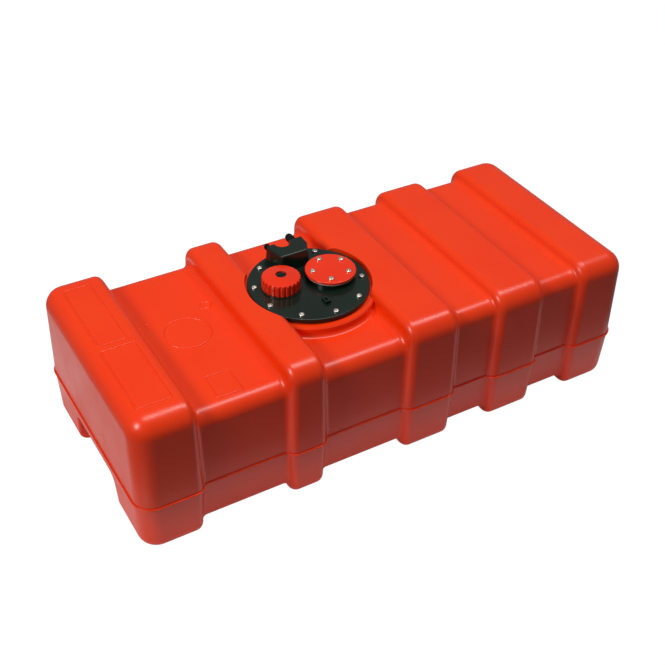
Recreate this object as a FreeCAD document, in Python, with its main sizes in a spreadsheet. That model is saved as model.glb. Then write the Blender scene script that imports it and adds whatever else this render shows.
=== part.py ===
import FreeCAD, Part
import Sketcher
import math
import os
import re

# Fuel tank for a small boat, in millimetres. +X runs along the tank, +Z is up.
# The origin is the middle of the face that the tank rests on.
# The tank is a hollow moulding: five blocks joined by four strap recesses, with a
# parting bead all round. A round service plate carries the filler, the gauge hole
# and the hose outlets.

SIZES = {
    # Tank, over the parting bead
    "tank_length": 800,
    "tank_width": 354,
    "tank_height": 225,
    "wall": 4.5,
    # Parting bead
    "bead_height": 81.5,
    "bead_proud": 2,
    "bead_thick": 3.2,
    "bead_edge": 1.1,
    "bead_hollow": 1,
    # How far each wall leans in, from the bead to the top or the bottom
    "upper_lean": 2.5,
    "lower_lean": 3,
    # Rounded edges of the blocks
    "corner_round": 28,
    "base_round": 18,
    "flank_round": 12,
    "recess_round": 22,
    "recess_base_round": 12,
    "recess_fillet": 10,
    "recess_base_fillet": 8,
    # Strap recesses: the place of each one's middle is a share of the tank's length
    "recess_1_place": 0.1975,
    "recess_1_width": 128,
    "recess_1_depth": 26,
    "recess_2_place": 0.43,
    "recess_2_width": 128,
    "recess_2_depth": 26,
    "recess_3_place": 0.657,
    "recess_3_width": 65,
    "recess_3_depth": 14,
    "recess_4_place": 0.8444,
    "recess_4_width": 65,
    "recess_4_depth": 14,
    "recess_side_depth": 11,
    "recess_base_depth": 14,
    # Hand grip pocket in each end
    "grip_width": 148,
    "grip_height": 59,
    "grip_depth": 42,
    "grip_lean": 9,
    "grip_round": 13,
    "grip_mouth_round": 4,
    # Round platform under the service plate, in the middle of recess 2
    "platform_drop": 11.5,
    "platform_radius": 97.5,
    "platform_foot": 6,
    "platform_edge": 2,
    "platform_floor": 12,
    "pocket_radius": 91.5,
    "opening_radius": 66,
    # Service plate and its gasket
    "gasket_thick": 2,
    "gasket_margin": 2,
    "plate_radius": 88,
    "plate_thick": 6,
    "plate_edge": 1.5,
    # Screws of the plate and of the gauge cover
    "screw_count": 10,
    "screw_circle": 78.3,
    "screw_first_angle": 90,
    "screw_shank": 2,
    "screw_length": 17,
    "screw_head_radius": 4,
    "screw_head_height": 2.8,
    "screw_head_round": 1.2,
    "screw_socket": 1.5,
    "screw_socket_depth": 1.5,
    "screw_clearance": 0.25,
    "insert_radius": 3.5,
    "insert_length": 11,
    "insert_clearance": 0.1,
    "insert_fit": 0.05,
    # Filler neck, placed from the middle of the plate
    "neck_across": -39.5,
    "neck_along": 9,
    "neck_bore": 19,
    "neck_radius": 22,
    "neck_rise": 10,
    "neck_spout": 18,
    "neck_collar": 30,
    "neck_collar_height": 1,
    # Gauge boss and its blanking cover, placed from the middle of the plate
    "gauge_across": 36,
    "gauge_bore": 20.5,
    "gauge_boss_radius": 33,
    "gauge_boss_rise": 7,
    "gauge_gasket_thick": 1,
    "gauge_gasket_radius": 36,
    "gauge_cover_radius": 37,
    "gauge_cover_thick": 4.5,
    "gauge_cover_round": 1.5,
    "gauge_screw_count": 5,
    "gauge_screw_circle": 27,
    "gauge_screw_first_angle": 98,
    "gauge_screw_length": 12,
    "gauge_insert_length": 8,
    # Small lug on the plate, placed from the middle of the plate
    "lug_along": -51,
    "lug_length": 13,
    "lug_width": 8,
    "lug_rise": 4,
    "lug_slot_width": 3,
    # Hose block: the outline of its foot is placed from the middle of the plate
    "block_left": -30,
    "block_right": 32.5,
    "block_front": 38,
    "block_back": 75,
    "block_rise": 26,
    "block_taper": 6,
    "block_corner_x": 7,
    "block_corner_y": 25,
    "block_lean_x": 10,
    "block_lean_y": 19.5,
    "block_corner_round": 4,
    "block_edge": 2.6,
    "block_notch_across": -3.5,
    "block_notch_along": 74,
    "block_notch_radius": 12,
    # Ports of the hose block
    "port_height": 15.5,
    "outlet_across": 19.5,
    "outlet_bore": 3,
    "outlet_thread": 5,
    "outlet_thread_depth": 9,
    "outlet_collar": 7.5,
    "outlet_collar_length": 4,
    "outlet_hose": 5.1,
    "outlet_length": 19,
    "outlet_teeth": 4,
    "breather_across": -21,
    "breather_bore": 1.5,
    "breather_thread": 2.6,
    "breather_thread_depth": 8,
    "breather_collar": 5,
    "breather_collar_length": 3,
    "breather_hose": 3.3,
    "breather_along": 56,
    "breather_length": 13.5,
    "breather_teeth": 4,
    "barb_tooth": 1.1,
    "barb_tooth_share": 0.85,
    "seal_wire": 0.7,
    # Spigot, nut and pickup below the hose block
    "spigot_along": 52,
    "spigot_radius": 6,
    "spigot_length": 20,
    "spigot_clearance": 0.2,
    "spigot_socket_depth": 10,
    "nut_across_flats": 16.5,
    "nut_height": 6,
    "tube_radius": 4.5,
    "tube_bore": 3.2,
    "tube_clearance": 0.05,
    "strainer_radius": 8,
    "strainer_wall": 1.2,
    "strainer_length": 28,
    "strainer_grip": 8,
    "strainer_slots": 8,
    "strainer_slot_width": 2.5,
    "strainer_floor_gap": 3,
    # Filler cap, measured from the top of the plate
    "cap_radius": 28,
    "cap_wall": 3,
    "cap_bottom": 1.5,
    "cap_shoulder": 18.5,
    "cap_crown": 22,
    "cap_shoulder_round": 1.2,
    "cap_flutes": 24,
    "cap_flute_radius": 2.4,
    "cap_flute_depth": 1.7,
    "cap_hole": 8,
    "cap_gap": 0.2,
    "thread_gap": 0.4,
    "seal_thick": 2,
    "slip_thick": 1,
    "insert_disc_thick": 2.6,
    "insert_bottom": 3,
    # Vent plug in the middle of the cap
    "vent_boss_radius": 7.7,
    "vent_boss_rise": 1.6,
    "vent_seal_thick": 0.6,
    "vent_flange_radius": 7.3,
    "vent_flange_thick": 1.8,
    "vent_stem": 4,
    "vent_stem_gap": 0.2,
    "vent_stem_tail": 2.4,
    "vent_passage": 1.4,
    "vent_port": 0.5,
    "vent_slot_width": 1.6,
    "vent_slot_depth": 1.2,
    "vent_clip_radius": 6,
    "vent_clip_thick": 1,
}

doc = FreeCAD.newDocument("fuel_tank")
sheet = doc.addObject("Spreadsheet::Sheet", "Sizes")
for row, (alias, number) in enumerate(SIZES.items(), start=1):
    sheet.set(f"A{row}", alias)
    sheet.set(f"B{row}", str(number))
    sheet.setAlias(f"B{row}", alias)
doc.recompute()

# Places that several pieces share, written as formulas of the sheet's cells
LEFT_END = "(-tank_length / 2)"
HALF_WIDTH = "(tank_width / 2 - bead_proud)"
FLANGE_X = f"({LEFT_END} + recess_2_place * tank_length)"
PLATFORM_Z = "(tank_height - platform_drop)"
PLATE_BOTTOM = f"({PLATFORM_Z} + gasket_thick)"
PLATE_TOP = f"({PLATE_BOTTOM} + plate_thick)"
NECK_X = f"({FLANGE_X} + neck_across)"
GAUGE_X = f"({FLANGE_X} + gauge_across)"
BOSS_TOP = f"({PLATE_TOP} + gauge_boss_rise)"
NECK_TOP = f"({PLATE_TOP} + neck_rise)"
SEAL_Z = f"({NECK_TOP} + cap_gap)"
SLIP_Z = f"({SEAL_Z} + seal_thick + cap_gap)"
DISC_Z = f"({SLIP_Z} + slip_thick + cap_gap)"
DISC_TOP = f"({DISC_Z} + insert_disc_thick)"
VENT_BOSS_TOP = f"({DISC_TOP} + vent_boss_rise)"
VENT_FLANGE_Z = f"({VENT_BOSS_TOP} + vent_seal_thick + cap_gap)"
SPIGOT_X = f"({FLANGE_X} + outlet_across)"
SPIGOT_FOOT = f"({PLATE_TOP} - spigot_length)"
STRAINER_Z = "(recess_base_depth + wall + strainer_floor_gap)"
PORT_Z = f"({PLATE_TOP} + port_height)"


def size(alias):
    """The number in the sheet's cell."""
    return float(sheet.get(alias))


def formula(text):
    """The text with each size's name turned into a reference to its cell."""
    return re.sub(r"[a-z][a-z_0-9]*", lambda name: cell(name.group()), str(text))


def cell(name):
    return f"Sizes.{name}" if name in SIZES else name


def bind(thing, **formulas):
    """Bind properties of an object to the sheet; x, y and z are its place."""
    places = {"x": "Placement.Base.x", "y": "Placement.Base.y", "z": "Placement.Base.z"}
    for key, text in formulas.items():
        thing.setExpression(places.get(key, key), formula(text))
    return thing


def part(kind, name, **formulas):
    return bind(doc.addObject(kind, name), **formulas)


def fuse(name, pieces):
    joined = doc.addObject("Part::MultiFuse", name)
    joined.Shapes = pieces
    joined.Refine = True
    return joined


def cut(name, base, tool):
    left = doc.addObject("Part::Cut", name)
    left.Base = base
    left.Tool = tool
    left.Refine = True
    return left


def rounded(name, base, radius, chosen):
    """Round the edges of base that chosen(edge) picks."""
    doc.recompute()
    result = doc.addObject("Part::Fillet", name)
    result.Base = base
    picked = [i for i, edge in enumerate(base.Shape.Edges, start=1) if chosen(edge)]
    result.Edges = [(i, radius, radius) for i in picked]
    doc.recompute()
    return result


def along(edge, axis):
    start, end = edge.Vertexes[0].Point, edge.Vertexes[-1].Point
    run = end - start
    return run.Length > 0 and abs(run.dot(axis)) > 0.9 * run.Length


def at_level(edge, level):
    return all(abs(vertex.Z - level) < 1e-4 for vertex in edge.Vertexes)


def circle_at(edge, radius, level):
    is_circle = edge.Curve.TypeId == "Part::GeomCircle"
    return is_circle and abs(edge.Curve.Radius - radius) < 1e-4 and abs(edge.Curve.Center.z - level) < 1e-4


X_AXIS = FreeCAD.Vector(1, 0, 0)
Y_AXIS = FreeCAD.Vector(0, 1, 0)
Z_AXIS = FreeCAD.Vector(0, 0, 1)
UPRIGHT = FreeCAD.Rotation(X_AXIS, 90)
FACING_BACK = FreeCAD.Rotation(X_AXIS, -90)


# Tank: its form is made twice with the same functions, as the outer skin and, moved in by
# the wall, as the cavity


def wedge(name, left, right, half, foot, head, lean_x, lean_y, wide_foot):
    """A tapered block; its walls lean in towards the head, or towards the foot."""
    block = doc.addObject("Part::Wedge", name)
    block.Placement = FreeCAD.Placement(FreeCAD.Vector(), UPRIGHT)
    wide = ("Xmin", "Xmax", "Zmin", "Zmax")
    narrow = ("X2min", "X2max", "Z2min", "Z2max")
    if not wide_foot:
        wide, narrow = narrow, wide
    bind(block, Ymin=foot, Ymax=head)
    bind(block, **dict(zip(wide, (left, right, f"-{half}", half))))
    leaned = (f"{left} + {lean_x}", f"{right} - {lean_x}", f"-({half} - {lean_y})", f"{half} - {lean_y}")
    bind(block, **dict(zip(narrow, leaned)))
    return block


def flank_faces(shape, ends):
    """Flat faces that look along X, at the given ends of the block."""
    box = shape.BoundBox
    faces = []
    for face in shape.Faces:
        if face.Surface.TypeId != "Part::GeomPlane" or abs(face.normalAt(0, 0).x) < 0.9:
            continue
        side = "left" if face.CenterOfMass.x < box.Center.x else "right"
        if side in ends:
            faces.append(face)
    return faces


def on_flank(edge, faces, parting):
    """True for an edge of one of the faces that isn't in the parting plane."""
    if at_level(edge, parting):
        return False
    return any(edge.isSame(other) for face in faces for other in face.Edges)


def block_half(name, left, right, outer_end, inset, upper):
    """The upper or lower half of one block, with its rounded edges."""
    shrink = inset or "0"
    low = f"({left} + {shrink})"
    high = f"({right} - {shrink})"
    half = f"({HALF_WIDTH} - {shrink})"
    if upper:
        foot, head, lean = "bead_height", f"(tank_height - {shrink})", "upper_lean"
    else:
        foot, head, lean = shrink, "bead_height", "lower_lean"
    block = wedge(name, low, high, half, foot, head, lean, lean, upper)
    doc.recompute()
    less = size(inset) if inset else 0
    box = block.Shape.BoundBox
    far_level, parting = (box.ZMax, box.ZMin) if upper else (box.ZMin, box.ZMax)
    flanks = [end for end in ("left", "right") if end != outer_end]
    outer_x = box.XMin if outer_end == "left" else box.XMax

    def outer_upright(edge):
        near = all(abs(vertex.X - outer_x) < size("upper_lean") + size("lower_lean") for vertex in edge.Vertexes)
        return outer_end and near and along(edge, Z_AXIS)

    if upper:
        faces = flank_faces(block.Shape, flanks)

        def top_edge(edge):
            return at_level(edge, far_level) and not on_flank(edge, faces, parting)

        radius = size("corner_round") - less
        block = rounded(name + "_round", block, radius, lambda edge: top_edge(edge) or outer_upright(edge))
    else:
        if outer_end:
            block = rounded(name + "_upright", block, size("corner_round") - less, outer_upright)
        faces = flank_faces(block.Shape, flanks)

        def base_edge(edge):
            return at_level(edge, far_level) and not on_flank(edge, faces, parting)

        block = rounded(name + "_round", block, size("base_round") - less, base_edge)
    faces = flank_faces(block.Shape, flanks)
    radius = size("flank_round") - less
    return rounded(name + "_flank", block, radius, lambda edge: on_flank(edge, faces, parting))


def recess_side(number, side):
    """Where a recess begins, with side "-", or ends, with side "+"."""
    return f"{LEFT_END} + recess_{number}_place * tank_length {side} recess_{number}_width / 2"


def core_upper(name, number, inset):
    """The part of the tank that runs through one recess, above the bead."""
    shrink = inset or "0"
    start = f"({recess_side(number, '-')} - corner_round)"
    end = f"({recess_side(number, '+')} + corner_round)"
    half = f"({HALF_WIDTH} - recess_side_depth - {shrink})"
    head = f"(tank_height - recess_{number}_depth - {shrink})"
    core = wedge(name, start, end, half, "bead_height", head, "0", "upper_lean", True)
    doc.recompute()
    level = core.Shape.BoundBox.ZMax
    radius = size("recess_round") - (size(inset) if inset else 0)
    return rounded(name + "_round", core, radius, lambda edge: at_level(edge, level) and along(edge, X_AXIS))


def core_lower(name, inset):
    """The part of the tank that runs through all the recesses, below the bead."""
    shrink = inset or "0"
    start = f"({recess_side(1, '-')} - corner_round)"
    end = f"({recess_side(4, '+')} + corner_round)"
    half = f"({HALF_WIDTH} - recess_side_depth - {shrink})"
    foot = f"(recess_base_depth + {shrink})"
    core = wedge(name, start, end, half, foot, "bead_height", "0", "lower_lean", False)
    doc.recompute()
    level = core.Shape.BoundBox.ZMin
    radius = size("recess_base_round") - (size(inset) if inset else 0)
    return rounded(name + "_round", core, radius, lambda edge: at_level(edge, level) and along(edge, X_AXIS))


def block_ends(number):
    """The left and right end of block 1 to 5, and which of them is an end of the tank."""
    if number == 1:
        left = LEFT_END + " + bead_proud"
    else:
        left = recess_side(number - 1, "+")
    if number == 5:
        right = "tank_length / 2 - bead_proud"
    else:
        right = recess_side(number, "-")
    outer = {1: "left", 5: "right"}.get(number)
    return f"({left})", f"({right})", outer


def where_they_meet(*groups):
    """A test that picks the edges that lie on the surface of every group of pieces."""
    doc.recompute()
    skins = [[face for piece in pieces for face in piece.Shape.Faces] for pieces in groups]

    def met(edge):
        middle = edge.valueAt((edge.FirstParameter + edge.LastParameter) / 2)
        point = Part.Vertex(middle)

        def touches(face):
            return face.BoundBox.isInside(middle) and point.distToShape(face)[0] < 0.001

        return all(any(touches(face) for face in skin) for skin in skins)

    return met


def tank_half(name, inset, upper):
    """The upper or lower half of the blocks, and the core that joins them."""
    side = "upper" if upper else "lower"
    blocks = []
    for number in range(1, 6):
        left, right, outer = block_ends(number)
        blocks.append(block_half(f"{name}_{side}_{number}", left, right, outer, inset, upper))
    if upper:
        cores = [core_upper(f"{name}_core_{number}", number, inset) for number in range(1, 5)]
    else:
        cores = [core_lower(f"{name}_core_lower", inset)]
    return blocks, cores


def soft_half(name, upper, radius):
    """One half of the skin, with the inner corners beside its recesses rounded."""
    blocks, cores = tank_half(name, None, upper)
    side = "upper" if upper else "lower"
    whole = fuse(f"{name}_{side}", blocks + cores)
    doc.recompute()
    joints = where_they_meet(blocks, cores)

    def inner_corner(edge):
        return joints(edge) and not at_level(edge, size("bead_height"))

    return rounded(f"{name}_{side}_soft", whole, radius, inner_corner)


def hollow_form(name):
    """The tank's form moved in by its wall."""
    pieces = []
    for upper in (True, False):
        blocks, cores = tank_half(name, "wall", upper)
        pieces += blocks + cores
    return pieces


def bead(name, grow, grow_size, edge_size):
    """Thin plates a little larger than the form, which make its parting bead."""
    plates = []
    low = "bead_height - bead_thick / 2"
    half = f"({HALF_WIDTH} + {grow})"
    for number in range(1, 6):
        left, right, outer = block_ends(number)
        plate = part("Part::Box", f"{name}_{number}", Length=f"{right} - {left} + 2 * {grow}", Width=f"2 * {half}",
                     Height="bead_thick", x=f"{left} - {grow}", y=f"-{half}", z=low)
        doc.recompute()
        box = plate.Shape.BoundBox
        outer_x = {"left": box.XMin, "right": box.XMax}.get(outer)

        def at_end(edge):
            return outer and abs(edge.CenterOfMass.x - outer_x) < box.XLength / 2

        def outer_upright(edge):
            return along(edge, Z_AXIS) and at_end(edge)

        def inner_upright(edge):
            return along(edge, Z_AXIS) and not at_end(edge)

        if outer:
            plate = rounded(f"{name}_{number}_outer", plate, size("corner_round") + grow_size, outer_upright)
        plates.append(rounded(f"{name}_{number}_inner", plate, size("flank_round") + grow_size, inner_upright))
    inside = f"({half} - recess_side_depth)"
    plates.append(part("Part::Box", f"{name}_core", Length="tank_length - 4 * corner_round", Width=f"2 * {inside}",
                       Height="bead_thick", x=f"{LEFT_END} + 2 * corner_round", y=f"-{inside}", z=low))
    if edge_size:
        plates = [rounded(f"{plate.Name}_edge", plate, edge_size, lambda edge: not along(edge, Z_AXIS))
                  for plate in plates]
    return plates


def grip(name, end, grow):
    """The hand grip pocket of one end, open to the end and to the floor."""
    reach = "corner_round"
    deep = f"(grip_depth + {grow})"
    if end == "left":
        low, high = f"({LEFT_END} - {reach})", f"({LEFT_END} + {deep})"
    else:
        low, high = f"(tank_length / 2 - {deep})", f"(tank_length / 2 + {reach})"
    half = f"(grip_width / 2 + grip_lean / 2 + {grow})"
    pocket = wedge(name, low, high, half, f"(-{reach})", f"(grip_height + {grow})", "grip_lean / 2", "grip_lean", True)
    doc.recompute()
    box = pocket.Shape.BoundBox
    inner_x = box.XMax if end == "left" else box.XMin

    def inner_edge(edge):
        if at_level(edge, box.ZMin):
            return False
        if at_level(edge, box.ZMax) and along(edge, X_AXIS):
            return True
        return abs(edge.CenterOfMass.x - inner_x) < size("grip_lean")

    radius = size("grip_round") + (size(grow) if grow in SIZES else 0)
    return rounded(name + "_round", pocket, radius, inner_edge)


def at_flange(kind, name, **formulas):
    """A round primitive on the axis of the service plate."""
    return part(kind, name, x=FLANGE_X, **formulas)


def insert_holes():
    """The blind holes that the platform's threaded inserts fill."""
    holes = doc.addObject("Part::Feature", "insert_holes")
    hole = Part.makeCylinder(size("insert_radius"), size("insert_length"), FreeCAD.Vector(), -Z_AXIS)
    holes.Shape = ring(hole, size("screw_count"), size("screw_circle"), size("screw_first_angle"))
    return bind(holes, x=FLANGE_X, z=PLATFORM_Z)


def ring(shape, count, radius, first_angle):
    """Copies of a shape, evenly spaced on a circle about Z."""
    copies = []
    for number in range(int(count)):
        angle = math.radians(first_angle + 360 / count * number)
        copy = shape.copy()
        copy.translate(FreeCAD.Vector(radius * math.cos(angle), radius * math.sin(angle), 0))
        copies.append(copy)
    return Part.makeCompound(copies)


def tank_body():
    floor_2 = "(tank_height - recess_2_depth)"
    platform = at_flange("Part::Cylinder", "platform", Radius="platform_radius", z="2 * bead_height",
                         Height=f"{PLATFORM_Z} - platform_edge - 2 * bead_height")
    platform_top = at_flange("Part::Cone", "platform_top", Radius1="platform_radius",
                             Radius2="platform_radius - platform_edge", Height="platform_edge",
                             z=f"{PLATFORM_Z} - platform_edge")
    foot_disc = at_flange("Part::Cylinder", "platform_foot_disc", Radius="platform_radius + platform_foot",
                          Height="platform_foot", z=floor_2)
    foot_curve = at_flange("Part::Torus", "platform_foot_curve", Radius1="platform_radius + platform_foot",
                           Radius2="platform_foot", z=f"{floor_2} + platform_foot")
    platform_foot = cut("platform_foot_ring", foot_disc, foot_curve)
    outer_bead = bead("bead", "bead_proud", size("bead_proud"), size("bead_edge"))
    inner_bead = bead("bead_hollow", "(bead_hollow - wall)", size("bead_hollow") - size("wall"), 0)
    halves = [soft_half("skin", True, size("recess_fillet")), soft_half("skin", False, size("recess_base_fillet"))]
    skin = fuse("skin", halves + outer_bead + [platform, platform_top, platform_foot])
    pocket = at_flange("Part::Cylinder", "pocket", Radius="pocket_radius", Height="tank_height", z=PLATFORM_Z)
    opening = at_flange("Part::Cylinder", "opening", Radius="opening_radius", Height="tank_height", z="bead_height")

    under = at_flange("Part::Cylinder", "under_platform", Radius="platform_radius - wall", z="2 * bead_height",
                      Height=f"{PLATFORM_Z} - platform_floor - 2 * bead_height")
    hollow = fuse("hollow", hollow_form("hollow") + inner_bead + [under])
    floor = at_flange("Part::Cylinder", "platform_floor_solid", Radius="pocket_radius + wall", Height="tank_height",
                      z=f"{PLATFORM_Z} - platform_floor")
    grips_inside = [grip(f"grip_inside_{end}", end, "wall") for end in ("left", "right")]
    cavity = cut("cavity", hollow, fuse("cavity_limits", [floor] + grips_inside))

    grips = [grip(f"grip_{end}", end, "0") for end in ("left", "right")]
    gripped = cut("skin_gripped", skin, fuse("grips", grips))
    gripped = rounded("skin_mouths", gripped, size("grip_mouth_round"), where_they_meet([skin], grips))
    solid = cut("skin_cut", gripped, pocket)
    shell = cut("shell", solid, fuse("shell_inside", [cavity, opening]))
    body = cut("tank_body", shell, insert_holes())
    return body


def drills(name, radius, length, count, circle, first_angle, **place):
    """A ring of round drills, for the holes of a ring of screws."""
    drill = Part.makeCylinder(radius, length)
    tool = doc.addObject("Part::Feature", name)
    tool.Shape = ring(drill, count, circle, first_angle)
    return bind(tool, **place)


def plate_drills(name, radius, length, **place):
    return drills(name, radius, length, size("screw_count"), size("screw_circle"), size("screw_first_angle"), **place)


def gauge_drills(name, radius, length, **place):
    return drills(name, radius, length, size("gauge_screw_count"), size("gauge_screw_circle"),
                  size("gauge_screw_first_angle"), **place)


def tube(name, outer, inner, height, **place):
    """A round tube or flat ring, standing on its place."""
    outside = part("Part::Cylinder", f"{name}_outside", Radius=outer, Height=height, **place)
    inside = part("Part::Cylinder", f"{name}_inside", Radius=inner, Height=height, **place)
    return cut(name, outside, inside)


def screw(name, length):
    """A pan-head screw with a hexagon socket; its head sits on z = 0."""
    head = part("Part::Cylinder", f"{name}_head", Radius="screw_head_radius", Height="screw_head_height")
    doc.recompute()
    top = size("screw_head_height")
    head = rounded(f"{name}_pan", head, size("screw_head_round"), lambda edge: at_level(edge, top))
    shank = part("Part::Cylinder", f"{name}_shank", Radius="screw_shank", Height=length, z=f"-{length}")
    socket = part("Part::Prism", f"{name}_socket", Circumradius="screw_socket", Height="screw_head_height",
                  z="screw_head_height - screw_socket_depth")
    return cut(name, fuse(f"{name}_solid", [head, shank]), socket)


def insert(name, length):
    """A brass threaded insert; its open end is at z = 0."""
    outside = part("Part::Cylinder", f"{name}_outside", Radius="insert_radius - insert_fit", Height=length,
                   z=f"-{length}")
    bore = part("Part::Cylinder", f"{name}_bore", Radius="screw_shank + insert_clearance", Height=length,
                z=f"-{length}")
    return cut(name, outside, bore)


def group(name, single, count, circle, first_angle, **place):
    """Identical pieces on a circle, as one node of separate solids."""
    doc.recompute()
    pieces = doc.addObject("Part::Feature", name)
    pieces.Shape = ring(single.Shape, count, circle, first_angle)
    return bind(pieces, **place)


def plate_group(name, single, **place):
    return group(name, single, size("screw_count"), size("screw_circle"), size("screw_first_angle"), **place)


def gauge_group(name, single, **place):
    return group(name, single, size("gauge_screw_count"), size("gauge_screw_circle"),
                 size("gauge_screw_first_angle"), **place)


# Sketches and features of the bodies


def new_body(name, **place):
    body = doc.addObject("PartDesign::Body", name)
    return bind(body, **place)


def sketch(body, name, across="0", along_y="0", level="0"):
    """An empty sketch, parallel to the body's XY plane."""
    plane = next(item for item in body.Origin.OriginFeatures if item.Role == "XY_Plane")
    drawing = body.newObject("Sketcher::SketchObject", name)
    drawing.AttachmentSupport = [(plane, "")]
    drawing.MapMode = "FlatFace"
    for axis, text in (("x", across), ("y", along_y), ("z", level)):
        drawing.setExpression(f"AttachmentOffset.Base.{axis}", formula(text))
    return drawing


def add_circle(drawing, radius, across=None):
    """A circle about the sketch's origin, or beside it on its X axis."""
    start = FreeCAD.Vector(1 if across else 0, 0, 0)
    curve = drawing.addGeometry(Part.Circle(start, Z_AXIS, 1), False)
    if across:
        drawing.addConstraint(Sketcher.Constraint("PointOnObject", curve, 3, -1))
        place = drawing.addConstraint(Sketcher.Constraint("DistanceX", -1, 1, curve, 3, 1))
        drawing.setExpression(f"Constraints[{place}]", formula(across))
    else:
        drawing.addConstraint(Sketcher.Constraint("Coincident", curve, 3, -1, 1))
    number = drawing.addConstraint(Sketcher.Constraint("Radius", curve, 1))
    drawing.setExpression(f"Constraints[{number}]", formula(radius))
    return drawing


def add_outline(drawing, points):
    """A closed outline of straight lines; each point is a pair of formulas."""
    start = len(drawing.Geometry)
    turn = 2 * math.pi / len(points)
    guess = [FreeCAD.Vector(math.cos(turn * i), math.sin(turn * i), 0) for i in range(len(points))]
    for i, point in enumerate(guess):
        drawing.addGeometry(Part.LineSegment(point, guess[(i + 1) % len(guess)]), False)
    for i in range(len(points)):
        after = start + (i + 1) % len(points)
        drawing.addConstraint(Sketcher.Constraint("Coincident", start + i, 2, after, 1))
    for i, pair in enumerate(points):
        for kind, text in zip(("DistanceX", "DistanceY"), pair):
            number = drawing.addConstraint(Sketcher.Constraint(kind, -1, 1, start + i, 1, 1))
            drawing.setExpression(f"Constraints[{number}]", formula(text))
    return drawing


def pad(body, name, drawing, length, downwards=False):
    feature = body.newObject("PartDesign::Pad", name)
    feature.Profile = drawing
    feature.Reversed = downwards
    return bind(feature, Length=length)


def pocket(body, name, drawing, depth=None):
    """Cut downwards from the sketch, right through where no depth is given."""
    feature = body.newObject("PartDesign::Pocket", name)
    feature.Profile = drawing
    if depth is None:
        feature.Type = "ThroughAll"
        return feature
    return bind(feature, Length=depth)


def polar(body, name, feature, drawing, count, first_angle):
    """Repeat a feature about the origin of its sketch; the first copy is at the sketch's X axis."""
    bind(drawing, **{"AttachmentOffset.Rotation.Angle": first_angle})
    pattern = body.newObject("PartDesign::PolarPattern", name)
    pattern.Originals = [feature]
    pattern.Axis = (drawing, ["N_Axis"])
    pattern.Angle = 360
    bind(pattern, Occurrences=count)
    body.Tip = pattern
    return pattern


def edge_round(body, name, radius, chosen):
    """Round the edges of the body's last feature that chosen(edge) picks."""
    doc.recompute()
    base = body.Tip
    picked = [f"Edge{i}" for i, edge in enumerate(base.Shape.Edges, start=1) if chosen(edge)]
    feature = body.newObject("PartDesign::Fillet", name)
    feature.Base = (base, picked)
    return bind(feature, Radius=radius)


def flange_plate():
    """The black service plate; its z = 0 is the plate's underside."""
    body = new_body("flange_plate", x=FLANGE_X, z=PLATE_BOTTOM)
    high = "plate_thick + neck_rise + gauge_boss_rise"
    neck = ("neck_across", "neck_along")
    pad(body, "plate_disc", add_circle(sketch(body, "plate_disc_sketch"), "plate_radius"), "plate_thick")
    top = size("plate_thick")
    rim = size("plate_radius")
    edge_round(body, "plate_disc_edge", "plate_edge", lambda edge: circle_at(edge, rim, top))
    pad(body, "neck_collar", add_circle(sketch(body, "neck_collar_sketch", *neck), "neck_collar"),
        "plate_thick + neck_collar_height")
    pad(body, "neck", add_circle(sketch(body, "neck_sketch", *neck), "neck_radius"), "plate_thick + neck_rise")
    pad(body, "spout", add_circle(sketch(body, "spout_sketch", *neck), "neck_radius"), "neck_spout", True)
    boss = add_circle(sketch(body, "boss_sketch", "gauge_across"), "gauge_boss_radius")
    pad(body, "boss", boss, "plate_thick + gauge_boss_rise")
    half = "lug_width / 2"
    foot, head = "-lug_length / 2", "lug_length / 2"
    lug = sketch(body, "lug_sketch", "0", "lug_along")
    corners = [(f"-{half}", foot), (half, foot), (half, head), (f"-{half}", head)]
    pad(body, "lug", add_outline(lug, corners), "plate_thick + lug_rise")
    slot = sketch(body, "lug_slot_sketch", "0", "lug_along", "plate_thick + lug_rise")
    half = "lug_slot_width / 2"
    slot_foot, slot_head = "-lug_length / 2 + lug_slot_width", "lug_length / 2 - lug_slot_width"
    corners = [(f"-{half}", slot_foot), (half, slot_foot), (half, slot_head), (f"-{half}", slot_head)]
    pocket(body, "lug_slot", add_outline(slot, corners), "lug_rise")
    pocket(body, "neck_bore", add_circle(sketch(body, "neck_bore_sketch", *neck, high), "neck_bore"))
    bore = add_circle(sketch(body, "gauge_bore_sketch", "gauge_across", "0", high), "gauge_bore")
    pocket(body, "gauge_bore", bore)
    spigot = sketch(body, "spigot_hole_sketch", "outlet_across", "spigot_along", high)
    pocket(body, "spigot_hole", add_circle(spigot, "spigot_radius + spigot_clearance"))
    breather = sketch(body, "breather_hole_sketch", "breather_across", "breather_along", high)
    pocket(body, "breather_hole", add_circle(breather, "breather_bore"))
    drawing = sketch(body, "screw_hole_sketch", "0", "0", high)
    hole = pocket(body, "screw_hole", add_circle(drawing, "screw_shank + screw_clearance", "screw_circle"))
    polar(body, "screw_holes", hole, drawing, "screw_count", "screw_first_angle")
    drawing = sketch(body, "gauge_hole_sketch", "gauge_across", "0", "plate_thick + gauge_boss_rise")
    add_circle(drawing, "insert_radius", "gauge_screw_circle")
    hole = pocket(body, "gauge_hole", drawing, "gauge_insert_length")
    polar(body, "gauge_holes", hole, drawing, "gauge_screw_count", "gauge_screw_first_angle")
    return body


def flange_gasket():
    disc = tube("gasket_disc", "plate_radius - gasket_margin", "opening_radius", "gasket_thick",
                x=FLANGE_X, z=PLATFORM_Z)
    holes = plate_drills("gasket_holes", size("screw_shank") + size("screw_clearance"), size("gasket_thick"),
                         x=FLANGE_X, z=PLATFORM_Z)
    return cut("flange_gasket", disc, holes)


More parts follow.
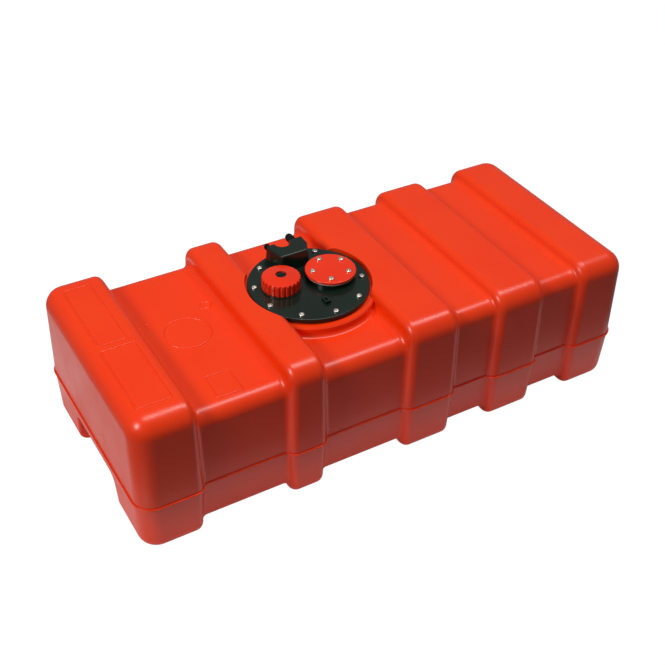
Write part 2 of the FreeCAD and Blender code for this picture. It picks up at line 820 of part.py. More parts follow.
def gauge_cover():
    cover_z = f"{BOSS_TOP} + gauge_gasket_thick"
    hole = size("screw_shank") + size("screw_clearance")
    seal = tube("gauge_seal", "gauge_gasket_radius", "gauge_bore", "gauge_gasket_thick", x=GAUGE_X, z=BOSS_TOP)
    holes = gauge_drills("gauge_seal_holes", hole, size("gauge_gasket_thick"), x=GAUGE_X, z=BOSS_TOP)
    cut("gauge_cover_gasket", seal, holes)
    disc = part("Part::Cylinder", "gauge_disc", Radius="gauge_cover_radius", Height="gauge_cover_thick",
                x=GAUGE_X, z=cover_z)
    disc = rounded("gauge_disc_round", disc, size("gauge_cover_round"), lambda edge: edge.Closed)
    holes = gauge_drills("gauge_cover_holes", hole, size("gauge_cover_thick"), x=GAUGE_X, z=cover_z)
    cut("gauge_cover", disc, holes)
    gauge_group("gauge_cover_screws", screw("gauge_screw", "gauge_screw_length"), x=GAUGE_X,
                z=f"{cover_z} + gauge_cover_thick")
    gauge_group("gauge_inserts", insert("gauge_insert", "gauge_insert_length"), x=GAUGE_X, z=BOSS_TOP)


def block_outline():
    """The outline of the hose block's foot, with room behind for the flat back to be cut."""
    return [
        ("block_left + block_corner_x", "block_front"),
        ("block_right - block_lean_x", "block_front"),
        ("block_right", "block_front + block_lean_y"),
        ("block_right", "block_back + block_rise"),
        ("block_left", "block_back + block_rise"),
        ("block_left", "block_front + block_corner_y"),
    ]


def port_tool(name, across, thread, depth, bore, reach):
    """A bore from the back of the hose block, with its thread and its seat for an O-ring."""
    seat = f"({thread} + 2 * seal_wire + spigot_clearance)"
    place = {"x": f"{FLANGE_X} + {across}", "z": PORT_Z}
    tools = [
        part("Part::Cylinder", f"{name}_thread", Radius=thread, Height=depth, y=f"block_back - {depth}", **place),
        part("Part::Cylinder", f"{name}_bore", Radius=bore, Height=f"block_back - {reach}", y=reach, **place),
        part("Part::Cylinder", f"{name}_seat", Radius=seat, Height="2 * seal_wire + cap_gap",
             y="block_back - 2 * seal_wire - cap_gap", **place),
    ]
    for tool in tools:
        tool.Placement.Rotation = FACING_BACK
    drop = part("Part::Cylinder", f"{name}_drop", Radius=bore, Height="spigot_length + port_height",
                x=place["x"], y=reach, z=SPIGOT_FOOT)
    return tools + [drop]


def hose_block():
    body = new_body("block", x=FLANGE_X, z=PLATE_TOP)
    tapered = pad(body, "block_pad", add_outline(sketch(body, "block_sketch"), block_outline()), "block_rise")
    bind(tapered, TaperAngle="-block_taper")
    front = size("block_front") + size("block_corner_y")
    top = size("block_rise")

    def corner(edge):
        return along(edge, Z_AXIS) and edge.CenterOfMass.y < front + size("block_edge")

    edge_round(body, "block_corners", "block_corner_round", corner)
    edge_round(body, "block_top_edge", "block_edge", lambda edge: at_level(edge, top))
    trim = sketch(body, "block_trim_sketch", "0", "block_back", "block_rise")
    corners = [("block_left", "0"), ("block_right", "0"), ("block_right", "block_rise"), ("block_left", "block_rise")]
    pocket(body, "block_trim", add_outline(trim, corners))
    notch = sketch(body, "block_notch_sketch", "block_notch_across", "block_notch_along", "block_rise")
    pocket(body, "block_notch", add_circle(notch, "block_notch_radius"))
    spigot = part("Part::Cylinder", "spigot", Radius="spigot_radius", Height="spigot_length", x=SPIGOT_X,
                  y="spigot_along", z=SPIGOT_FOOT)
    tools = port_tool("outlet", "outlet_across", "outlet_thread", "outlet_thread_depth", "outlet_bore",
                      "spigot_along")
    breather = port_tool("breather", "breather_across", "breather_thread", "breather_thread_depth",
                         "breather_bore", "breather_along")
    tools.append(part("Part::Cylinder", "tube_socket", Radius="tube_radius + tube_clearance",
                      Height="spigot_socket_depth", x=SPIGOT_X, y="spigot_along", z=SPIGOT_FOOT))
    tools.append(tube("spigot_groove", "spigot_radius + 2 * seal_wire + spigot_clearance", "spigot_radius",
                      "2 * seal_wire + cap_gap", x=SPIGOT_X, y="spigot_along", z=PLATE_TOP))
    cut("hose_block", fuse("block_solid", [body, spigot]), fuse("block_tools", tools + breather))
    seal = part("Part::Torus", "hose_block_seal", Radius1="spigot_radius + seal_wire + spigot_clearance / 2",
                Radius2="seal_wire", x=SPIGOT_X, y="spigot_along", z=f"{PLATE_TOP} + seal_wire")
    nut_z = f"{PLATE_BOTTOM} - nut_height"
    hexagon = part("Part::Prism", "nut_hexagon", Circumradius="nut_across_flats / sqrt(3)", Height="nut_height",
                   x=SPIGOT_X, y="spigot_along", z=nut_z)
    bore = part("Part::Cylinder", "nut_bore", Radius="spigot_radius + tube_clearance", Height="nut_height",
                x=SPIGOT_X, y="spigot_along", z=nut_z)
    cut("hose_block_nut", hexagon, bore)
    return seal


def hose_tail(name, across, thread, depth, collar, collar_length, hose, length, teeth, bore):
    """A screwed hose tail that points to the back, with saw teeth for the hose."""
    parts = [
        part("Part::Cylinder", f"{name}_stub", Radius=f"{thread} - tube_clearance",
             Height=f"{depth} - cap_gap", z=f"-({depth} - cap_gap)"),
        part("Part::Cylinder", f"{name}_collar", Radius=collar, Height=collar_length),
        part("Part::Cylinder", f"{name}_core", Radius=hose, Height=f"{collar_length} + {length}"),
    ]
    for number in range(int(size(teeth))):
        pitch = f"{length} / {teeth}"
        parts.append(part("Part::Cone", f"{name}_tooth_{number + 1}", Radius1=f"{hose} + barb_tooth", Radius2=hose,
                          Height=f"{pitch} * barb_tooth_share",
                          z=f"{collar_length} + {pitch} * ({number + 1} - barb_tooth_share)"))
    hole = part("Part::Cylinder", f"{name}_hole", Radius=bore, Height=f"{depth} + {collar_length} + {length}",
                z=f"-{depth}")
    tail = cut(name, fuse(f"{name}_solid", parts), hole)
    tail.Placement.Rotation = FACING_BACK
    bind(tail, x=f"{FLANGE_X} + {across}", y="block_back", z=PORT_Z)
    seal = part("Part::Torus", f"{name}_seal", Radius1=f"{thread} + seal_wire + spigot_clearance / 2",
                Radius2="seal_wire", x=f"{FLANGE_X} + {across}", y="block_back - seal_wire - cap_gap / 2", z=PORT_Z)
    seal.Placement.Rotation = FACING_BACK


def pickup():
    """The tube that draws fuel from the lowest part of the tank, and the strainer on its foot."""
    tube_foot = f"({STRAINER_Z} + strainer_length - strainer_grip)"
    place = {"x": SPIGOT_X, "y": "spigot_along"}
    tube("pickup_tube", "tube_radius", "tube_bore",
         f"{SPIGOT_FOOT} + spigot_socket_depth - cap_gap - {tube_foot}", z=tube_foot, **place)
    outside = part("Part::Cylinder", "strainer_outside", Radius="strainer_radius", Height="strainer_length",
                   z=STRAINER_Z, **place)
    inside = part("Part::Cylinder", "strainer_inside", Radius="strainer_radius - strainer_wall",
                  Height="strainer_length - 2 * strainer_wall", z=f"{STRAINER_Z} + strainer_wall", **place)
    collar = part("Part::Cylinder", "strainer_collar", Radius="tube_radius + tube_clearance",
                  Height="strainer_length", z=f"{STRAINER_Z} + strainer_wall", **place)
    slot = Part.makeBox(size("strainer_radius"), size("strainer_slot_width"),
                        size("strainer_length") - 2 * size("strainer_grip"))
    slot.translate(FreeCAD.Vector(size("strainer_radius") / 2, -size("strainer_slot_width") / 2, 0))
    slots = doc.addObject("Part::Feature", "strainer_slots_cut")
    count = int(size("strainer_slots"))
    turned = []
    for number in range(count):
        copy = slot.copy()
        copy.rotate(FreeCAD.Vector(), Z_AXIS, 360 / count * number)
        turned.append(copy)
    slots.Shape = Part.makeCompound(turned)
    bind(slots, z=f"{STRAINER_Z} + strainer_grip", **place)
    cut("pickup_strainer", outside, fuse("strainer_cuts", [inside, collar, slots]))


def at_cap(kind, name, **formulas):
    """A round primitive on the axis of the filler neck."""
    return part(kind, name, x=NECK_X, y="neck_along", **formulas)


def filler_cap():
    """The red shell: a fluted skirt, a bevelled shoulder and a shallow crown with a hole."""
    low = f"({PLATE_TOP} + cap_bottom)"
    shoulder = f"({PLATE_TOP} + cap_shoulder)"
    bevel = f"({shoulder} - cap_shoulder_round)"
    skirt = at_cap("Part::Cylinder", "cap_skirt", Radius="cap_radius", Height=f"{bevel} - {low}", z=low)
    edge = at_cap("Part::Cone", "cap_bevel", Radius1="cap_radius", Radius2="cap_radius - cap_shoulder_round",
                  Height="cap_shoulder_round", z=bevel)
    crown = at_cap("Part::Cone", "cap_crown_cone", Radius1="cap_radius - cap_shoulder_round", Radius2="cap_hole",
                   Height="cap_crown - cap_shoulder", z=shoulder)
    inside = at_cap("Part::Cylinder", "cap_inside", Radius="cap_radius - cap_wall", Height=f"{DISC_TOP} - {low}",
                    z=low)
    hole = at_cap("Part::Cylinder", "cap_hole_drill", Radius="cap_hole", Height="cap_crown", z=DISC_TOP)
    flutes = drills("cap_flute_cuts", size("cap_flute_radius"), size("cap_crown"), size("cap_flutes"),
                    size("cap_radius") + size("cap_flute_radius") - size("cap_flute_depth"), 0,
                    x=NECK_X, y="neck_along", z=low)
    cut("filler_cap", fuse("cap_solid", [skirt, edge, crown]), fuse("cap_cuts", [inside, hole, flutes]))


def cap_insert():
    """The black threaded insert inside the cap, with the seat of the vent plug."""
    low = f"({PLATE_TOP} + insert_bottom)"
    outer = "cap_radius - cap_wall - tube_clearance"
    ring_part = at_cap("Part::Cylinder", "insert_ring", Radius=outer, Height=f"{DISC_TOP} - {low}", z=low)
    boss = at_cap("Part::Cylinder", "vent_boss", Radius="vent_boss_radius", Height="insert_disc_thick + vent_boss_rise",
                  z=DISC_Z)
    inside = at_cap("Part::Cylinder", "insert_thread", Radius="neck_radius + thread_gap", Height=f"{DISC_Z} - {low}",
                    z=low)
    bore = at_cap("Part::Cylinder", "vent_bore", Radius="vent_stem + vent_stem_gap", Height="cap_crown", z=DISC_Z)
    port = at_cap("Part::Cylinder", "vent_port", Radius="vent_port", Height="vent_boss_radius",
                  z=f"{VENT_BOSS_TOP} - vent_boss_rise / 2")
    port.Placement.Rotation = FreeCAD.Rotation(Y_AXIS, 90)
    cut("cap_insert", fuse("insert_solid", [ring_part, boss]), fuse("insert_cuts", [inside, bore, port]))


def cap_rings():
    """The gasket on the neck's rim and the slip ring that the insert turns on."""
    inner = "neck_bore + cap_gap"
    place = {"x": NECK_X, "y": "neck_along"}
    tube("cap_gasket", "neck_radius", inner, "seal_thick", z=SEAL_Z, **place)
    tube("cap_slip_ring", "neck_radius", inner, "slip_thick", z=SLIP_Z, **place)


def vent_plug():
    """The quarter-turn plug: its side port meets the insert's port after a quarter turn."""
    place = {"x": NECK_X, "y": "neck_along"}
    tube("vent_seal", "vent_flange_radius", "vent_stem + vent_stem_gap", "vent_seal_thick", z=VENT_BOSS_TOP, **place)
    foot = f"({DISC_Z} - vent_stem_tail)"
    flange = at_cap("Part::Cylinder", "vent_flange", Radius="vent_flange_radius", Height="vent_flange_thick",
                    z=VENT_FLANGE_Z)
    stem = at_cap("Part::Cylinder", "vent_stem_rod", Radius="vent_stem", Height=f"{VENT_FLANGE_Z} - {foot}", z=foot)
    slot = part("Part::Box", "vent_slot", Length="2 * vent_flange_radius", Width="vent_slot_width",
                Height="vent_slot_depth", x=f"{NECK_X} - vent_flange_radius", y="neck_along - vent_slot_width / 2",
                z=f"{VENT_FLANGE_Z} + vent_flange_thick - vent_slot_depth")
    passage = at_cap("Part::Cylinder", "vent_passage_bore", Radius="vent_passage",
                     Height=f"{VENT_BOSS_TOP} - {foot}", z=foot)
    port = at_cap("Part::Cylinder", "vent_plug_port", Radius="vent_port", Height="vent_stem",
                  z=f"{VENT_BOSS_TOP} - vent_boss_rise / 2")
    port.Placement.Rotation = FACING_BACK
    cut("vent_plug", fuse("vent_solid", [flange, stem]), fuse("vent_cuts", [slot, passage, port]))
    tube("vent_clip", "vent_clip_radius", "vent_stem + tube_clearance", "vent_clip_thick",
         z=f"{DISC_Z} - cap_gap - vent_clip_thick", **place)


tank_body()
flange_plate()
flange_gasket()
plate_group("flange_inserts", insert("flange_insert", "insert_length"), x=FLANGE_X, z=PLATFORM_Z)
plate_group("flange_screws", screw("flange_screw", "screw_length"), x=FLANGE_X, z=PLATE_TOP)
gauge_cover()
hose_block()
hose_tail("outlet_barb", "outlet_across", "outlet_thread", "outlet_thread_depth", "outlet_collar",
          "outlet_collar_length", "outlet_hose", "outlet_length", "outlet_teeth", "outlet_bore")
hose_tail("breather_barb", "breather_across", "breather_thread", "breather_thread_depth", "breather_collar",
          "breather_collar_length", "breather_hose", "breather_length", "breather_teeth", "breather_bore")
pickup()
filler_cap()
cap_insert()
cap_rings()
vent_plug()
doc.recompute()

NODES = [
    "tank_body", "flange_inserts", "flange_gasket", "flange_plate", "flange_screws", "gauge_cover",
    "gauge_cover_gasket", "gauge_cover_screws", "gauge_inserts", "hose_block", "hose_block_seal",
    "hose_block_nut", "outlet_barb", "outlet_barb_seal", "breather_barb", "breather_barb_seal",
    "pickup_tube", "pickup_strainer", "filler_cap", "cap_insert", "cap_slip_ring", "cap_gasket",
    "vent_plug", "vent_seal", "vent_clip",
]
failed = [item.Name for item in doc.Objects if "Invalid" in item.State or "Error" in item.State]
for name in NODES:
    shape = doc.getObject(name).Shape
    if shape.isNull() or not shape.isValid() or not shape.Solids:
        failed.append(name)
if failed:
    raise RuntimeError("these objects failed: " + ", ".join(failed))

os.makedirs("parts", exist_ok=True)
for name in NODES:
    shape = doc.getObject(name).Shape
    shape.exportStep(f"parts/{name}.step")
    box = shape.optimalBoundingBox()
    print(f"{name}: {len(shape.Solids)} solids, {shape.Volume / 1000:.1f} cm3,",
          f"z {box.ZMin:.2f} to {box.ZMax:.2f}")
print(f"fuel space: {doc.getObject('cavity').Shape.Volume / 1e6:.1f} litres")
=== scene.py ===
import math

import bpy
from mathutils import Matrix, Vector
from mathutils.bvhtree import BVHTree


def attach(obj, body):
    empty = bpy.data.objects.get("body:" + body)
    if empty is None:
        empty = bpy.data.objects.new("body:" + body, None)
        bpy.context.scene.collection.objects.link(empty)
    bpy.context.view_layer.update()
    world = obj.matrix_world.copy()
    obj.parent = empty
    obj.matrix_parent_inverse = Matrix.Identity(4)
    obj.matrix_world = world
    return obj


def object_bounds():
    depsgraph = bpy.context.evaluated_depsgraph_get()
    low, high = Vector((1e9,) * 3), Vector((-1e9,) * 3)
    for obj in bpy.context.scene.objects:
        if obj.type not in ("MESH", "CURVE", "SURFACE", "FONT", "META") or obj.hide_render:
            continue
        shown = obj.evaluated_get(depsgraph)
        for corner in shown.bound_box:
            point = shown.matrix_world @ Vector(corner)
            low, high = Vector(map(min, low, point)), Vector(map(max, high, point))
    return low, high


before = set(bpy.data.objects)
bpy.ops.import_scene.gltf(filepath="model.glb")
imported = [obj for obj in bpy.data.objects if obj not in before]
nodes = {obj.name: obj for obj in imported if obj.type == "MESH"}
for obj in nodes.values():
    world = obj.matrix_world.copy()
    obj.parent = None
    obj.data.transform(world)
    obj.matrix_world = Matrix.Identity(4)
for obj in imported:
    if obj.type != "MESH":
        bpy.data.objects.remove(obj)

# A fuel tank for a small boat: red moulded plastic with a black service plate.
# Lengths are in metres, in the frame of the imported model: +X along the tank, +Z up.

MM = 0.001
cad_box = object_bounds()


# Materials: each has a colour that drifts a little, a roughness map and a fine surface


def paint(red, green, blue):
    """A colour written as it looks on a screen, 0 to 255, for a shader's socket."""
    linear = []
    for value in (red, green, blue):
        share = value / 255
        linear.append(share / 12.92 if share <= 0.04045 else ((share + 0.055) / 1.055) ** 2.4)
    return (*linear, 1)


class Finish:
    """A material with a Principled shader and helpers that add its procedural detail."""

    def __init__(self, name):
        self.material = bpy.data.materials.new(name)
        self.material.use_nodes = True
        self.tree = self.material.node_tree
        self.shader = self.tree.nodes["Principled BSDF"]
        self.place = self.add("ShaderNodeTexCoord").outputs["Object"]

    def add(self, kind, **settings):
        node = self.tree.nodes.new(kind)
        for key, value in settings.items():
            setattr(node, key, value)
        return node

    def join(self, source, target):
        self.tree.links.new(source, target)

    def stretched(self, scale):
        """The object's coordinates, scaled apart along each axis."""
        mapping = self.add("ShaderNodeMapping")
        mapping.inputs["Scale"].default_value = scale
        self.join(self.place, mapping.inputs["Vector"])
        return mapping.outputs["Vector"]

    def noise(self, feature, detail=3, place=None):
        """Noise whose features are about the given size."""
        texture = self.add("ShaderNodeTexNoise")
        texture.inputs["Scale"].default_value = 1 / feature
        texture.inputs["Detail"].default_value = detail
        self.join(place or self.place, texture.inputs["Vector"])
        return texture.outputs["Fac"]

    def spread(self, value, low, high, start=0.35, end=0.65):
        """The value, mapped from its usual range to low and high."""
        node = self.add("ShaderNodeMapRange")
        node.inputs["From Min"].default_value = start
        node.inputs["From Max"].default_value = end
        node.inputs["To Min"].default_value = low
        node.inputs["To Max"].default_value = high
        self.join(value, node.inputs["Value"])
        return node.outputs["Result"]

    def mixed(self, factor, first, second):
        """Two colours, mixed by a factor."""
        node = self.add("ShaderNodeMix", data_type="RGBA")
        self.join(factor, node.inputs["Factor"])
        for name, colour in (("A", first), ("B", second)):
            socket = next(item for item in node.inputs if item.name == name and item.type == "RGBA")
            socket.default_value = colour
        return next(item for item in node.outputs if item.type == "RGBA")

    def sum(self, first, second):
        node = self.add("ShaderNodeMath", operation="ADD")
        self.join(first, node.inputs[0])
        self.join(second, node.inputs[1])
        return node.outputs[0]

    def surface(self, colour, roughness, specular):
        """The shader's colour and roughness, each from another node, and the strength of its reflection."""
        self.join(colour, self.shader.inputs["Base Color"])
        self.join(roughness, self.shader.inputs["Roughness"])
        self.shader.inputs["Specular IOR Level"].default_value = specular

    def relief(self, *layers):
        """Bump from layers of height, each with its depth."""
        normal = None
        for height, depth in layers:
            bump = self.add("ShaderNodeBump")
            bump.inputs["Distance"].default_value = depth
            self.join(height, bump.inputs["Height"])
            if normal:
                self.join(normal, bump.inputs["Normal"])
            normal = bump.outputs["Normal"]
        self.join(normal, self.shader.inputs["Normal"])


def moulded_plastic(name, colour, shade, rough, specular, wave, grain):
    """Moulded plastic: slow drifts of colour, a skin like orange peel and a few duller patches."""
    drift_size = 0.12
    mottle_size = 0.006
    patch_size = 0.02
    gloss_size = 0.05
    wave_size = 0.06
    grain_size = 0.0016
    finish = Finish(name)
    drift = finish.spread(finish.noise(drift_size, detail=4), 0, 1)
    mottle = finish.spread(finish.noise(mottle_size, detail=2), 0, 0.2)
    handled = finish.spread(finish.noise(patch_size), 0, 0.04, start=0.5, end=0.8)
    gloss = finish.spread(finish.noise(gloss_size), rough - 0.02, rough + 0.03)
    base = finish.mixed(finish.sum(drift, mottle), colour, shade)
    finish.surface(base, finish.sum(gloss, handled), specular)
    finish.relief(
        (finish.noise(wave_size, detail=1), wave),
        (finish.noise(grain_size, detail=1), grain),
    )
    return finish.material


def worked_metal(name, colour, rough, streak):
    """Turned or rolled metal with fine streaks and a few dull spots."""
    streak_size = 0.0012
    spot_size = 0.0025
    streak_depth = 0.03 * MM
    dullness = 0.72
    finish = Finish(name)
    streaks = finish.noise(streak_size, detail=4, place=finish.stretched((1, 1, streak)))
    spots = finish.spread(finish.noise(spot_size), 0, 0.12, start=0.5, end=0.75)
    dull = tuple(dullness * value for value in colour[:3]) + (1,)
    base = finish.mixed(finish.spread(streaks, 0, 0.6), colour, dull)
    gloss = finish.spread(streaks, rough - 0.06, rough + 0.1)
    finish.surface(base, finish.sum(gloss, spots), specular=0.5)
    finish.relief((streaks, streak_depth))
    finish.shader.inputs["Metallic"].default_value = 1
    return finish.material


def moulded_rubber(name, colour, shade, rough):
    """Rubber with a dusty bloom and a fine grain."""
    bloom_size = 0.008
    gloss_size = 0.003
    grain_size = 0.0006
    grain_depth = 0.05 * MM
    finish = Finish(name)
    bloom = finish.spread(finish.noise(bloom_size, detail=5), 0, 1)
    gloss = finish.spread(finish.noise(gloss_size), rough - 0.08, rough + 0.08)
    finish.surface(finish.mixed(bloom, colour, shade), gloss, specular=0.35)
    finish.relief((finish.noise(grain_size), grain_depth))
    return finish.material


# Each plastic: its colour and shade, its roughness and reflection, and the depth of its waves and grain
PLASTICS = {
    "tank_red": (paint(242, 59, 4), paint(240, 54, 3), 0.3, 0.45, 0.12 * MM, 0.002 * MM),
    "cap_red": (paint(238, 52, 16), paint(232, 46, 14), 0.2, 0.45, 0.03 * MM, 0.003 * MM),
    "black_plastic": (paint(20, 36, 28), paint(15, 28, 21), 0.2, 0.45, 0.03 * MM, 0.005 * MM),
    "white_plastic": (paint(226, 226, 220), paint(214, 214, 206), 0.4, 0.4, 0.03 * MM, 0.015 * MM),
}

# Each metal: its colour, its roughness and how many times wider than high its streaks are
METALS = {
    "stainless": (paint(236, 232, 222), 0.28, 6),
    "brass": (paint(214, 176, 98), 0.26, 5),
}

# Each rubber: its colour and shade, and its roughness
RUBBERS = {
    "seal_rubber": (paint(34, 34, 35), paint(44, 44, 45), 0.62),
    "pale_gasket": (paint(206, 200, 186), paint(190, 184, 170), 0.6),
}

NODE_MATERIALS = {
    "tank_body": "tank_red",
    "flange_inserts": "brass",
    "flange_gasket": "seal_rubber",
    "flange_plate": "black_plastic",
    "flange_screws": "stainless",
    "gauge_cover": "cap_red",
    "gauge_cover_gasket": "pale_gasket",
    "gauge_cover_screws": "stainless",
    "gauge_inserts": "brass",
    "hose_block": "black_plastic",
    "hose_block_seal": "seal_rubber",
    "hose_block_nut": "black_plastic",
    "outlet_barb": "black_plastic",
    "outlet_barb_seal": "seal_rubber",
    "breather_barb": "black_plastic",
    "breather_barb_seal": "seal_rubber",
    "pickup_tube": "white_plastic",
    "pickup_strainer": "white_plastic",
    "filler_cap": "cap_red",
    "cap_insert": "black_plastic",
    "cap_slip_ring": "white_plastic",
    "cap_gasket": "seal_rubber",
    "vent_plug": "black_plastic",
    "vent_seal": "seal_rubber",
    "vent_clip": "stainless",
}

materials = {}
for kind, finishes in ((moulded_plastic, PLASTICS), (worked_metal, METALS), (moulded_rubber, RUBBERS)):
    for name, values in finishes.items():
        materials[name] = kind(name, *values)


def dress(obj, material):
    obj.data.materials.clear()
    obj.data.materials.append(materials[material])


for node, material in NODE_MATERIALS.items():
    dress(nodes[node], material)


# Raised outlines that the mould leaves on the tank's top, all of them plain

LINE_RADIUS = 1.5 * MM
LINE_SUNK = 0.4 * MM
LINE_ROUNDNESS = 2
POINT_SPACING = 4 * MM
FRAME_CORNER = 2 * MM
CORNER_STEPS = 6
PROBE_HEIGHT = 0.1

# Left, right, front and back of each outline with four sides
OUTLINE_FRAMES = {
    "end_frame_back": (-0.372, -0.333, 0.001, 0.139),
    "end_frame_front": (-0.374, -0.327, -0.136, -0.011),
    "recess_frame": (-0.266, -0.230, -0.138, -0.094),
}

# Middle, radius and number of points of each round outline
OUTLINE_RINGS = {
    "recess_ring": (-0.245, 0.003, 0.033, 72),
    "dial_ring_back": (-0.197, 0.049, 0.008, 36),
    "dial_ring_front": (-0.287, 0.045, 0.002, 18),
}

tank_surface = BVHTree.FromObject(nodes["tank_body"], bpy.context.evaluated_depsgraph_get())


def on_tank(x, y):
    """The point of the tank's outside straight below, sunk a little."""
    above = Vector((x, y, cad_box[1][2] + PROBE_HEIGHT))
    point = tank_surface.ray_cast(above, Vector((0, 0, -1)))[0]
    return point - Vector((0, 0, LINE_SUNK))


def raised_line(name, path):
    """A thin moulded ridge along a closed path of x and y on the tank."""
    data = bpy.data.curves.new(name, "CURVE")
    data.dimensions = "3D"
    data.bevel_depth = LINE_RADIUS
    data.bevel_resolution = LINE_ROUNDNESS
    spline = data.splines.new("POLY")
    spline.points.add(len(path) - 1)
    for point, (x, y) in zip(spline.points, path):
        point.co = (*on_tank(x, y), 1)
    spline.use_cyclic_u = True
    obj = bpy.data.objects.new(name, data)
    bpy.context.scene.collection.objects.link(obj)
    dress(obj, "tank_red")
    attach(obj, "tank")


def rounded_corners(left, right, front, back):
    """The corners of a rectangle, each as an arc, counterclockwise from the front right."""
    points = []
    inner_left, inner_right = left + FRAME_CORNER, right - FRAME_CORNER
    inner_front, inner_back = front + FRAME_CORNER, back - FRAME_CORNER
    middles = ((inner_right, inner_front, -90), (inner_right, inner_back, 0),
               (inner_left, inner_back, 90), (inner_left, inner_front, 180))
    for x, y, start in middles:
        for step in range(CORNER_STEPS + 1):
            angle = math.radians(start + 90 * step / CORNER_STEPS)
            points.append((x + FRAME_CORNER * math.cos(angle), y + FRAME_CORNER * math.sin(angle)))
    return points


def filled_in(path):
    """A closed path with more points along its sides, so that none are far apart."""
    dense = []
    for (x0, y0), (x1, y1) in zip(path, path[1:] + path[:1]):
        count = max(1, math.ceil(math.hypot(x1 - x0, y1 - y0) / POINT_SPACING))
        dense += [(x0 + (x1 - x0) * i / count, y0 + (y1 - y0) * i / count) for i in range(count)]
    return dense


def circle(x, y, radius, steps):
    angles = [2 * math.pi * step / steps for step in range(steps)]
    return [(x + radius * math.cos(angle), y + radius * math.sin(angle)) for angle in angles]


for name, sides in OUTLINE_FRAMES.items():
    raised_line(name, filled_in(rounded_corners(*sides)))
for name, ring in OUTLINE_RINGS.items():
    raised_line(name, circle(*ring))


# Camera: the photograph's place, turn and lens

CAMERA_PLACE = Vector((-0.6876, -1.1144, 1.1443))
CAMERA_YAW = math.radians(31.166)
CAMERA_PITCH = math.radians(38.354)
CAMERA_ROLL = math.radians(1.59)
CAMERA_LENS = 59.684
CAMERA_SENSOR = 36
CAMERA_REACH = 50


def camera_turn():
    """The camera's own right, top and back as the columns of a matrix."""
    forward_x = math.sin(CAMERA_YAW) * math.cos(CAMERA_PITCH)
    forward_y = math.cos(CAMERA_YAW) * math.cos(CAMERA_PITCH)
    ahead = Vector((forward_x, forward_y, -math.sin(CAMERA_PITCH)))
    level = Vector((math.cos(CAMERA_YAW), -math.sin(CAMERA_YAW), 0))
    upward = level.cross(ahead)
    right = level * math.cos(CAMERA_ROLL) + upward * math.sin(CAMERA_ROLL)
    top = upward * math.cos(CAMERA_ROLL) - level * math.sin(CAMERA_ROLL)
    return Matrix((right, top, -ahead)).transposed()


def add_camera():
    data = bpy.data.cameras.new("camera")
    data.lens = CAMERA_LENS
    data.sensor_width = CAMERA_SENSOR
    data.clip_end = CAMERA_REACH
    camera = bpy.data.objects.new("camera", data)
    bpy.context.scene.collection.objects.link(camera)
    camera.matrix_world = Matrix.Translation(CAMERA_PLACE) @ camera_turn().to_4x4()
    bpy.context.scene.camera = camera


# Stage: a floor and a world that the camera sees as white, and soft lamps

FLOOR_HALF = 8
FLOOR_COLOUR = (0.12, 0.12, 0.12, 1)
FLOOR_ROUGHNESS = 0.9
FLOOR_GLOW = 1.18
FLOOR_GLOW_SHARE = 0.85
SHEET_COLOUR = (0.8, 0.8, 0.8, 1)
SHEET_THICK = 0.5 * MM
SHEET_LEFT = 110 * MM
SHEET_RIGHT = 120 * MM
SHEET_FRONT = 85 * MM
SHEET_BACK = 300 * MM
TANK_CLEARANCE = 0.2 * MM
SKY = 0.14
MIRRORED = 0.14


def background_share(tree):
    """How much of the white background a ray sees: all for the camera, less in a mirror or through glass."""
    path = tree.nodes.new("ShaderNodeLightPath")
    total = path.outputs["Is Camera Ray"]
    for name in ("Is Glossy Ray", "Is Transmission Ray"):
        part = tree.nodes.new("ShaderNodeMath")
        part.operation = "MULTIPLY"
        part.inputs[1].default_value = MIRRORED
        tree.links.new(path.outputs[name], part.inputs[0])
        either = tree.nodes.new("ShaderNodeMath")
        either.operation = "MAXIMUM"
        tree.links.new(total, either.inputs[0])
        tree.links.new(part.outputs[0], either.inputs[1])
        total = either.outputs[0]
    return total


def stage_paper(name, colour):
    """A dull surface in its own colour that glows white to the camera, and still shows shadows."""
    material = bpy.data.materials.new(name)
    material.use_nodes = True
    tree = material.node_tree
    paper = tree.nodes["Principled BSDF"]
    paper.inputs["Base Color"].default_value = colour
    paper.inputs["Roughness"].default_value = FLOOR_ROUGHNESS
    paper.inputs["Specular IOR Level"].default_value = 0
    glow = tree.nodes.new("ShaderNodeEmission")
    glow.inputs["Strength"].default_value = FLOOR_GLOW
    share = tree.nodes.new("ShaderNodeMath")
    share.operation = "MULTIPLY"
    share.inputs[1].default_value = FLOOR_GLOW_SHARE
    tree.links.new(background_share(tree), share.inputs[0])
    both = tree.nodes.new("ShaderNodeMixShader")
    tree.links.new(share.outputs[0], both.inputs["Fac"])
    tree.links.new(paper.outputs["BSDF"], both.inputs[1])
    tree.links.new(glow.outputs["Emission"], both.inputs[2])
    tree.links.new(both.outputs["Shader"], tree.nodes["Material Output"].inputs["Surface"])
    return material


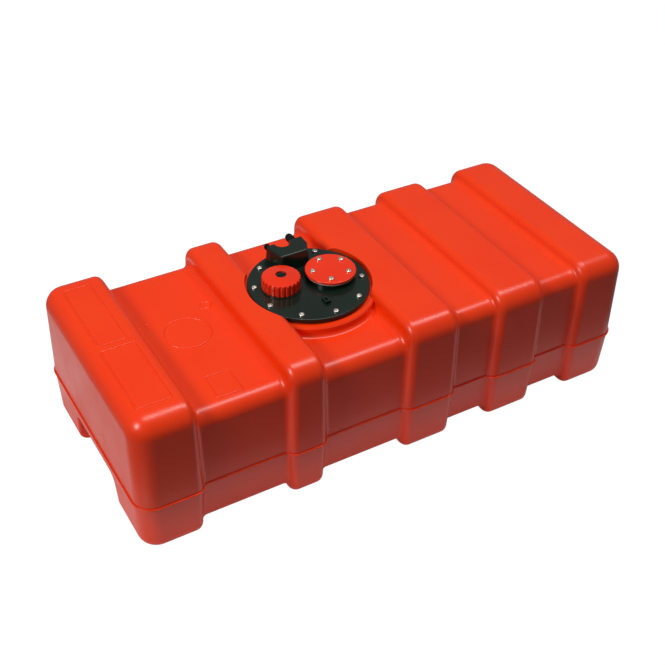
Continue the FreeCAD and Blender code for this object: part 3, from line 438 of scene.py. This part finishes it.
def stage_plane(name, left, right, front, back, level, colour):
    """A level sheet that isn't part of the tank."""
    mesh = bpy.data.meshes.new(name)
    corners = [(left, front, 0), (right, front, 0), (right, back, 0), (left, back, 0)]
    mesh.from_pydata(corners, [], [(0, 1, 2, 3)])
    mesh.materials.append(stage_paper(name, colour))
    sheet = bpy.data.objects.new(name, mesh)
    sheet.location.z = level
    bpy.context.scene.collection.objects.link(sheet)


def add_stage():
    """A wide dark floor, and a white sheet that the tank stands on."""
    low, high = cad_box
    level = low[2] - TANK_CLEARANCE
    floor_level = level - SHEET_THICK
    left, right = low[0] - SHEET_LEFT, high[0] + SHEET_RIGHT
    front, back = low[1] - SHEET_FRONT, high[1] + SHEET_BACK
    stage_plane("floor", -FLOOR_HALF, FLOOR_HALF, -FLOOR_HALF, FLOOR_HALF, floor_level, FLOOR_COLOUR)
    stage_plane("sheet", left, right, front, back, level, SHEET_COLOUR)


def add_world():
    """A world that is white to the camera and dim as a light."""
    world = bpy.data.worlds.new("world")
    world.use_nodes = True
    bpy.context.scene.world = world
    tree = world.node_tree
    background = tree.nodes["Background"]
    background.inputs["Color"].default_value = (1, 1, 1, 1)
    strength = tree.nodes.new("ShaderNodeMapRange")
    strength.inputs["To Min"].default_value = SKY
    strength.inputs["To Max"].default_value = 1
    tree.links.new(background_share(tree), strength.inputs["Value"])
    tree.links.new(strength.outputs["Result"], background.inputs["Strength"])


def soft_lamp(name, place, target, width, depth, watts):
    """A rectangular lamp; its width lies along X when it hangs above its target."""
    data = bpy.data.lights.new(name, "AREA")
    data.shape = "RECTANGLE"
    data.size = width
    data.size_y = depth
    data.energy = watts
    lamp = bpy.data.objects.new(name, data)
    bpy.context.scene.collection.objects.link(lamp)
    turn = (Vector(target) - Vector(place)).to_track_quat("-Z", "Y").to_matrix()
    lamp.matrix_world = Matrix.Translation(Vector(place)) @ turn.to_4x4()


def add_lamps():
    soft_lamp("overhead", place=(0.5, -0.02, 2.2), target=(0.5, -0.02, 0.1), width=2.2, depth=0.5, watts=32)
    soft_lamp("left", place=(-1.85, -0.3, 1.45), target=(-0.2, -0.1, 0.15), width=0.5, depth=0.5, watts=22)


add_camera()
add_stage()
add_world()
add_lamps()

scene = bpy.context.scene
scene.view_settings.view_transform = "Standard"
